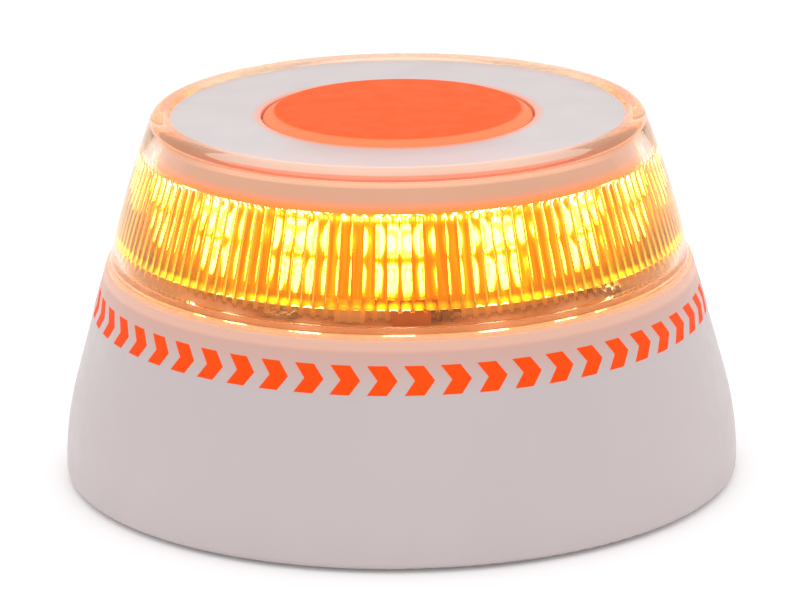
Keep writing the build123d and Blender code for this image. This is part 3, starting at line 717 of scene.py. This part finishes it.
def lathe(name, outline, segments=round_segments, marks=None):
    """Body of revolution about Z from a closed outline; marks gives each ring's flute_share."""
    shape = bmesh.new()
    share = shape.verts.layers.float.new("flute_share")
    rings = []
    for number, (radius, height) in enumerate(outline):
        ring = []
        for step in range(segments if radius > 1e-6 else 1):
            turn = TURN * step / segments
            across, ahead = radius * math.cos(turn), radius * math.sin(turn)
            vertex = shape.verts.new((across * MM, ahead * MM, height * MM))
            vertex[share] = marks[number] if marks else 0.0
            ring.append(vertex)
        rings.append(ring)
    for near, far in zip(rings, rings[1:] + rings[:1]):
        for step in range(segments):
            after = step + 1
            loop = [
                near[step % len(near)],
                near[after % len(near)],
                far[after % len(far)],
                far[step % len(far)],
            ]
            corners = list(dict.fromkeys(loop))
            if len(corners) > 2:
                shape.faces.new(corners)
    bmesh.ops.recalc_face_normals(shape, faces=shape.faces)
    return finished(name, shape)


def finished(name, shape):
    """Object from a bmesh."""
    mesh = bpy.data.meshes.new(name)
    shape.to_mesh(mesh)
    shape.free()
    made = bpy.data.objects.new(name, mesh)
    bpy.context.scene.collection.objects.link(made)
    return made


def smooth(piece, degrees=32.0):
    """Smooth shading broken at the sharp edges."""
    piece.data.polygons.foreach_set("use_smooth", [True] * len(piece.data.polygons))
    piece.data.set_sharp_from_angle(angle=math.radians(degrees))


def crease(piece, height):
    """Break the smooth shading along the ring of points at a height."""
    level = [math.isclose(point.co.z, height * MM, rel_tol=1e-5) for point in piece.data.vertices]
    for edge in piece.data.edges:
        if all(level[end] for end in edge.vertices):
            edge.use_edge_sharp = True


def fit_out(piece, body, material, slot, *replaced):
    """Give a piece its finish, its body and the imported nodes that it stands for."""
    if material.name not in piece.data.materials:
        piece.data.materials.clear()
        piece.data.materials.append(material)
    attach(piece, body)
    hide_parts(*replaced)


# ---------------------------------------------------------------- geometry trees
def new_tree(name, inputs):
    """Geometry tree with named inputs: the tree, its graph, its input node and its output node."""
    tree = bpy.data.node_groups.new(name, "GeometryNodeTree")
    tree.interface.new_socket("Geometry", in_out="INPUT", socket_type="NodeSocketGeometry")
    tree.interface.new_socket("Geometry", in_out="OUTPUT", socket_type="NodeSocketGeometry")
    for socket, kind in inputs.items():
        tree.interface.new_socket(socket, in_out="INPUT", socket_type="NodeSocket" + kind)
    graph = Graph(tree)
    return tree, graph, graph.node("NodeGroupInput"), graph.node("NodeGroupOutput")


def end_tree(graph, geometry, given, result):
    """Make the geometry real, coat it with the given finish and hand it out."""
    real = graph.node("GeometryNodeRealizeInstances", geometry).outputs[0]
    named = {"Geometry": real, "Material": given.outputs["Finish"]}
    coated = graph.node("GeometryNodeSetMaterial", named=named).outputs[0]
    graph.feed(result.inputs[0], coated)


def ring_of_copies_tree():
    """Copies of one piece, turned evenly about the Z axis."""
    inputs = {"Count": "Int", "Start": "Float", "Pattern": "Object", "Finish": "Material"}
    tree, graph, given, result = new_tree("ring_of_copies", inputs)
    points = graph.node("GeometryNodePoints", given.outputs["Count"])
    step = graph.maths("DIVIDE", TURN, given.outputs["Count"])
    number = graph.node("GeometryNodeInputIndex").outputs[0]
    turn = graph.maths("MULTIPLY_ADD", number, step, given.outputs["Start"])
    spin = graph.node("ShaderNodeCombineXYZ", 0.0, 0.0, turn).outputs[0]
    pattern = graph.node("GeometryNodeObjectInfo", given.outputs["Pattern"])
    named = {
        "Points": points.outputs[0],
        "Instance": pattern.outputs["Geometry"],
        "Rotation": spin,
    }
    copies = graph.node("GeometryNodeInstanceOnPoints", named=named)
    end_tree(graph, copies.outputs[0], given, result)
    return tree


def fluted_wall_tree():
    """Ribs down the marked rings of a round wall: each bulges inwards as a shallow arc."""
    inputs = {"Count": "Int", "Depth": "Float", "Finish": "Material"}
    tree, graph, given, result = new_tree("fluted_wall", inputs)
    spot = graph.node("GeometryNodeInputPosition").outputs[0]
    across, ahead, _ = graph.node("ShaderNodeSeparateXYZ", spot).outputs
    turn = graph.maths("DIVIDE", graph.maths("ARCTAN2", ahead, across), TURN)
    columns = graph.times(graph.maths("ADD", turn, 1.0), given.outputs["Count"])
    aside = graph.maths("MULTIPLY_ADD", graph.maths("FRACT", columns), 2.0, -1.0)
    crown = graph.without(graph.times(aside, aside))
    marked = graph.node("GeometryNodeInputNamedAttribute", "flute_share").outputs[0]
    depth = graph.times(crown, marked, given.outputs["Depth"])
    back = [graph.times(length, -1.0) for length in (across, ahead)]
    inward = graph.node("ShaderNodeCombineXYZ", *back, 0.0).outputs[0]
    way = graph.node("ShaderNodeVectorMath", inward, operation="NORMALIZE").outputs[0]
    named = {"Vector": way, "Scale": depth}
    shift = graph.node("ShaderNodeVectorMath", operation="SCALE", named=named).outputs[0]
    named = {"Geometry": given.outputs["Geometry"], "Offset": shift}
    moved = graph.node("GeometryNodeSetPosition", named=named).outputs[0]
    end_tree(graph, moved, given, result)
    return tree


def grow(name, carrier, tree, **values):
    """Plain mesh that a geometry tree makes from a carrier object, which is used up."""
    modifier = carrier.modifiers.new(tree.name, "NODES")
    modifier.node_group = tree
    for socket in tree.interface.items_tree:
        if socket.name in values:
            modifier[socket.identifier] = values[socket.name]
    bpy.context.view_layer.update()
    ready = carrier.evaluated_get(bpy.context.evaluated_depsgraph_get())
    mesh = bpy.data.meshes.new_from_object(ready)
    bpy.data.objects.remove(carrier)
    mesh.name = name
    made = bpy.data.objects.new(name, mesh)
    bpy.context.scene.collection.objects.link(made)
    return made


def ring_of_copies(name, pattern, count, start, material):
    """Object made of turned copies of a pattern piece, which is used up."""
    carrier = finished(name + "_carrier", bmesh.new())
    values = {"Count": count, "Start": start, "Pattern": pattern, "Finish": material}
    made = grow(name, carrier, copies_tree, **values)
    bpy.data.objects.remove(pattern)
    return made


copies_tree = ring_of_copies_tree()
flutes_tree = fluted_wall_tree()


# ---------------------------------------------------------------- lens
def make_lens():
    """Clear lens: plug, foot flange, bowed side with inner flutes, rim and recessed top."""
    low = seam_height + lens_foot_height
    floor = seam_height + lens_floor
    foot = lens_foot_radius - lens_foot_step
    recess = overall_height - lens_rim_height
    under = recess - lens_top_thickness
    flute_low = floor + flute_lift
    flute_high = cap_top - cap_skirt_height + flute_overlap
    groove = (plug_bottom + lip_height + seam_height) / 2
    outer = [
        (lip_bore, plug_bottom),
        (plug_radius, plug_bottom),
        (plug_radius, groove - groove_height / 2),
        (groove_radius, groove - groove_height / 2),
        (groove_radius, groove + groove_height / 2),
        (plug_radius, groove + groove_height / 2),
        (plug_radius, seam_height),
        (lens_foot_radius, seam_height),
        (lens_foot_radius, low, 0.15),
        (foot, low, 0.1),
        *bowed((foot, low), (lens_top_edge, overall_height), lens_belly),
        (lens_top_edge, overall_height, lens_rim_round),
        (lens_recess_edge, overall_height, 0.4),
        (lens_flat_edge, recess, fine_edge),
        (lens_hole, recess, 0.25),
        (lens_hole, under, fine_edge),
        (inside_of_lens(under), under, soft_edge),
    ]
    outline = rounded(outer)
    marks = [0.0] * len(outline)
    quarter = [step * TURN / 4 / flute_end_steps for step in range(flute_end_steps + 1)]
    swell = [(math.sin(turn), flute_end * (1 - math.cos(turn))) for turn in quarter]
    rings = [(share, flute_high - drop) for share, drop in swell]
    rings += [(share, flute_low + rise) for share, rise in reversed(swell)]
    for share, height in rings:
        outline.append(Vector((inside_of_lens(height), height)))
        marks.append(share)
    foot_corners = [
        (inside_of_lens(flute_low), flute_low),
        (inside_of_lens(floor), floor, soft_edge),
        (plug_bore, floor, fine_edge),
        (plug_bore, plug_bottom + lip_height),
        (lip_bore, plug_bottom + lip_height),
        (lip_bore, plug_bottom),
    ]
    tail = rounded(foot_corners)[1:-1]
    outline += tail
    marks += [0.0] * len(tail)
    blank = lathe("lens_blank", outline, flute_count * flute_columns, marks)
    values = {"Count": flute_count, "Depth": flute_depth * MM, "Finish": lens_clear}
    lens = grow("fluted_lens", blank, flutes_tree, **values)
    smooth(lens, degrees=30.0)
    crease(lens, flute_high)
    fit_out(lens, "housing", lens_clear, "lens_clear", "lens_dome")


# ---------------------------------------------------------------- cap and button
def make_cap():
    """White cap under the lens's top, with the button's well and bush."""
    under = cap_top - cap_thickness
    skirt_low = cap_top - cap_skirt_height
    floor = cap_top - well_depth
    beneath = floor - well_floor
    skirt_outer = inside_of_lens(skirt_low) - cap_side_gap
    plate_outer = inside_of_lens(cap_top) - cap_side_gap
    corners = [
        (bush_bore, beneath, fine_edge),
        (well_radius + well_wall, beneath, 0.4),
        (well_radius + well_wall, under, soft_edge),
        (inside_of_lens(under) - cap_side_gap - cap_thickness, under, 0.5),
        (skirt_outer - cap_thickness, skirt_low, soft_edge),
        (skirt_outer, skirt_low, 0.35),
        (plate_outer, cap_top, cap_edge_round),
        (lens_hole, cap_top, soft_edge),
        (lens_hole, under, fine_edge),
        (well_radius, under),
        (well_radius, floor, soft_edge),
        (bush_radius, floor, soft_edge),
        (bush_radius, floor + bush_height, soft_edge),
        (bush_bore, floor + bush_height, fine_edge),
    ]
    cap = lathe("button_well_cap", rounded(corners, steps=5))
    smooth(cap)
    fit_out(cap, "housing", cap_white, "cap_white", "inner_cap")


def make_button():
    """Orange push button: face, bevelled edge, stop flange and stem."""
    skin = button_top - button_skin
    flange_top = cap_top - cap_thickness
    flange_low = flange_top - button_flange_height
    corners = [
        (0.0, bottom_of("push_button")),
        (stem_radius, bottom_of("push_button"), soft_edge),
        (stem_radius, skin, soft_edge),
        (button_radius - button_skirt_wall, skin, soft_edge),
        (button_radius - button_skirt_wall, flange_low, fine_edge),
        (button_flange_radius, flange_low, 0.25),
        (button_flange_radius, flange_top, 0.25),
        (button_radius, flange_top, fine_edge),
        (button_radius, button_top - button_bevel, 0.4),
        (button_face, button_top, 0.5),
        (0.0, button_top),
    ]
    button = lathe("press_button", rounded(corners, steps=6))
    smooth(button)
    fit_out(button, "button", button_orange, "button_orange", "push_button")


# ---------------------------------------------------------------- arrows round the base
def make_arrows():
    """Printed arrows that follow the base's slope, all pointing the same way round."""
    half = arrow_height / 2
    tail = -(arrow_arm + arrow_tip) / 2
    middle = seam_height - arrow_drop
    shape = bmesh.new()
    layers = []
    for depth in (-arrow_proud, arrow_depth):
        layer = []
        for row in range(arrow_rows + 1):
            height = half * (2 * row / arrow_rows - 1)
            ahead = tail + arrow_tip * (1 - abs(height) / half)
            radius = seam_radius + base_slope * (seam_height - middle - height) - depth
            line = []
            for column in range(arrow_columns + 1):
                x = ahead + arrow_arm * column / arrow_columns
                y = -math.sqrt(radius ** 2 - x ** 2)
                line.append(shape.verts.new((x * MM, y * MM, (middle + height) * MM)))
            layer.append(line)
        layers.append(layer)
    for layer in layers:
        for lower, upper in zip(layer, layer[1:]):
            for column in range(arrow_columns):
                after = column + 1
                shape.faces.new([lower[column], lower[after], upper[after], upper[column]])
    rims = [edge for edge in shape.edges if edge.is_boundary]
    bmesh.ops.bridge_loops(shape, edges=rims)
    bmesh.ops.recalc_face_normals(shape, faces=shape.faces)
    pattern = finished("arrow_pattern", shape)
    half_step = math.pi / arrow_count
    arrows = ring_of_copies("arrow_band", pattern, arrow_count, half_step, arrow_orange)
    smooth(arrows)
    fit_out(arrows, "housing", arrow_orange, "arrow_orange", "chevron_band")


# ---------------------------------------------------------------- LEDs
def make_led_row(name, size, row, material, replaced):
    """One ring of LED packages, each with a sunken window and a low dome of gel."""
    wide, high, deep = size
    shape = bmesh.new()
    bmesh.ops.create_cube(shape, size=1.0)
    bmesh.ops.scale(shape, vec=Vector((deep, wide, high)) * MM, verts=shape.verts)
    bmesh.ops.translate(shape, vec=Vector((flex_radius + deep / 2, 0, row)) * MM, verts=shape.verts)
    window = max(shape.faces, key=lambda face: face.calc_center_median().x)
    steps = [
        (led_frame, 0.0),
        (window_lip, -window_sink),
        (gel_slope, gel_rise),
        (crown_slope, crown_rise),
    ]
    for inset, rise in steps:
        bmesh.ops.inset_individual(shape, faces=[window], thickness=inset * MM, depth=rise * MM)
    bmesh.ops.recalc_face_normals(shape, faces=shape.faces)
    pattern = finished(name + "_pattern", shape)
    row_of_leds = ring_of_copies(name, pattern, led_count, -math.pi / 2, material)
    smooth(row_of_leds, degrees=20.0)
    fit_out(row_of_leds, "housing", material, "led_amber", replaced)


# ---------------------------------------------------------------- pieces and their finishes
lens_clear = lens_finish()
cap_white = cap_finish()
button_orange = button_finish()
arrow_orange = arrow_finish()
upper_led_lit = led_finish("upper_led_lit", upper_row, upper_led[0] / 2)
lower_led_lit = led_finish("lower_led_lit", lower_row, lower_led[0] / 2)

make_lens()
make_cap()
make_button()
make_arrows()
make_led_row("upper_led_row", upper_led, upper_row, upper_led_lit, "upper_leds")
make_led_row("lower_led_row", lower_led, lower_row, lower_led_lit, "lower_leds")

grey = moulded_plastic("grey_cover", rgb(188, 182, 184), roughness=0.5)[0]
black_rubber = rubber("black_rubber", rgb(34, 33, 34))
seal_rubber = rubber("grey_seal", rgb(120, 118, 116))
steel = metal("plated_steel", rgb(205, 204, 200))
nickel = metal("nickel_magnet", rgb(196, 192, 184), roughness=0.22)
contact = metal("sprung_contact", rgb(214, 206, 188))
green_board = board("green_board", rgb(24, 92, 52), rgb(60, 132, 72))
black_chip = moulded_plastic("black_chip", rgb(28, 28, 30), roughness=0.55)[0]
tin_shield = metal("tin_shield", rgb(190, 192, 194), roughness=0.35)
cell_wrap = moulded_plastic(
    "cell_wrap", rgb(52, 60, 74), roughness=0.3, grain=1.5, relief=0.01)[0]
sleeve = moulded_plastic("capacitor_sleeve", rgb(36, 40, 60), roughness=0.35)[0]
ceramic = moulded_plastic("antenna_ceramic", rgb(196, 172, 140), roughness=0.6)[0]
pale_ribbon = moulded_plastic("ribbon", rgb(214, 214, 208), roughness=0.4)[0]
node_finishes = {
    "base_shell": shell_finish(),
    "led_drum": drum_finish(),
    "led_flex": flex_finish(),
    "led_platform": platform_finish(),
    "flex_connector": connector_finish(),
    "bottom_cover": grey,
    "battery_door": grey,
    "battery_tray": grey,
    "rubber_foot": black_rubber,
    "door_seal": seal_rubber,
    "lens_seal": seal_rubber,
    "stem_seal": seal_rubber,
    "cover_screws": steel,
    "tray_screws": steel,
    "board_screws": steel,
    "platform_screws": steel,
    "drum_screws": steel,
    "top_board_screws": steel,
    "door_screws": steel,
    "return_spring": steel,
    "magnet_plate": steel,
    "magnet": nickel,
    "flat_contacts": contact,
    "leaf_contacts": contact,
    "main_board": green_board,
    "top_board": green_board,
    "board_chips": black_chip,
    "tact_switch": black_chip,
    "switch_plunger": black_chip,
    "ribbon_sockets": pale_ribbon,
    "ribbon_cable": pale_ribbon,
    "modem_module": tin_shield,
    "network_antenna": contact,
    "capacitors": sleeve,
    "battery_cells": cell_wrap,
    "satellite_antenna": ceramic,
}
for node, material in node_finishes.items():
    nodes[node].data.materials.clear()
    nodes[node].data.materials.append(material)


# ---------------------------------------------------------------- floor, sky, lights and camera
floor_radius = 6.0
floor_white = (0.95, 0.95, 0.95, 1.0)
floor_glow = 0.08
tent_white = (1.0, 0.985, 0.99, 1.0)
end_level = 0.8
front_level = 0.9
rear_level = 1.1
zenith_level = 1.15
panel_place = (0.0, 0.1, 0.8)
panel_aim = (0.0, 0.0, 0.05)
panel_side = 0.6
panel_watts = 0.6
camera_aim = Vector((0.0, 0.0, 0.0253))
camera_rise = math.radians(16.35)
camera_roll = math.radians(-0.665)
camera_distance = 0.688
camera_lens = 208.5


def lay_floor():
    """Wide white floor."""
    shape = bmesh.new()
    bmesh.ops.create_circle(shape, cap_ends=True, segments=96, radius=floor_radius)
    floor = finished("floor", shape)
    material, _, shader = plain_finish("white_floor")
    shader.inputs["Base Color"].default_value = floor_white
    shader.inputs["Roughness"].default_value = 0.9
    shader.inputs["Emission Color"].default_value = (1.0, 1.0, 1.0, 1.0)
    shader.inputs["Emission Strength"].default_value = floor_glow
    shader.inputs["Specular IOR Level"].default_value = 0.1
    floor.data.materials.append(material)


def hang_sky():
    """White studio tent, dimmer at the sides so that the pale shell keeps its shape."""
    world = bpy.data.worlds.new("studio_tent")
    world.use_nodes = True
    bpy.context.scene.world = world
    graph = Graph(world.node_tree)
    way = graph.node("ShaderNodeTexCoord").outputs["Generated"]
    across, ahead, up = graph.node("ShaderNodeSeparateXYZ", way).outputs
    ends = graph.ease(graph.maths("ABSOLUTE", across), 0.3, 1.0, 1.0, end_level)
    sides = graph.times(ends, graph.ease(ahead, -0.95, -0.1, front_level, rear_level))
    overhead = graph.ease(up, 0.25, 0.9)
    gain = graph.maths("SUBTRACT", zenith_level, sides)
    level = graph.maths("MULTIPLY_ADD", gain, overhead, sides)
    back = world.node_tree.nodes["Background"]
    back.inputs["Color"].default_value = tent_white
    graph.feed(back.inputs["Strength"], level)


def hang_panel():
    """Soft square light overhead."""
    light = bpy.data.lights.new("overhead_panel", "AREA")
    light.size = panel_side
    light.energy = panel_watts
    panel = bpy.data.objects.new("overhead_panel", light)
    bpy.context.scene.collection.objects.link(panel)
    panel.location = panel_place
    facing = Vector(panel_aim) - Vector(panel_place)
    panel.rotation_euler = facing.to_track_quat("-Z", "Y").to_euler()


def set_camera():
    """Long lens, looking slightly down at the front."""
    data = bpy.data.cameras.new("camera")
    data.lens = camera_lens
    data.sensor_width = 36.0
    data.clip_start = 0.01
    camera = bpy.data.objects.new("camera", data)
    bpy.context.scene.collection.objects.link(camera)
    away = Vector((0.0, -math.cos(camera_rise), math.sin(camera_rise)))
    place = camera_aim + camera_distance * away
    facing = (camera_aim - place).to_track_quat("-Z", "Y").to_matrix().to_4x4()
    roll = Matrix.Rotation(camera_roll, 4, "Z")
    camera.matrix_world = Matrix.Translation(place) @ facing @ roll
    bpy.context.scene.camera = camera


lay_floor()
hang_sky()
hang_panel()
set_camera()

scene = bpy.context.scene
scene.view_settings.view_transform = "Standard"
scene.cycles.max_bounces = 20
scene.cycles.transmission_bounces = 16
scene.cycles.transparent_max_bounces = 16
scene.cycles.glossy_bounces = 6
scene.cycles.diffuse_bounces = 4
scene.cycles.caustics_refractive = False
scene.cycles.caustics_reflective = False
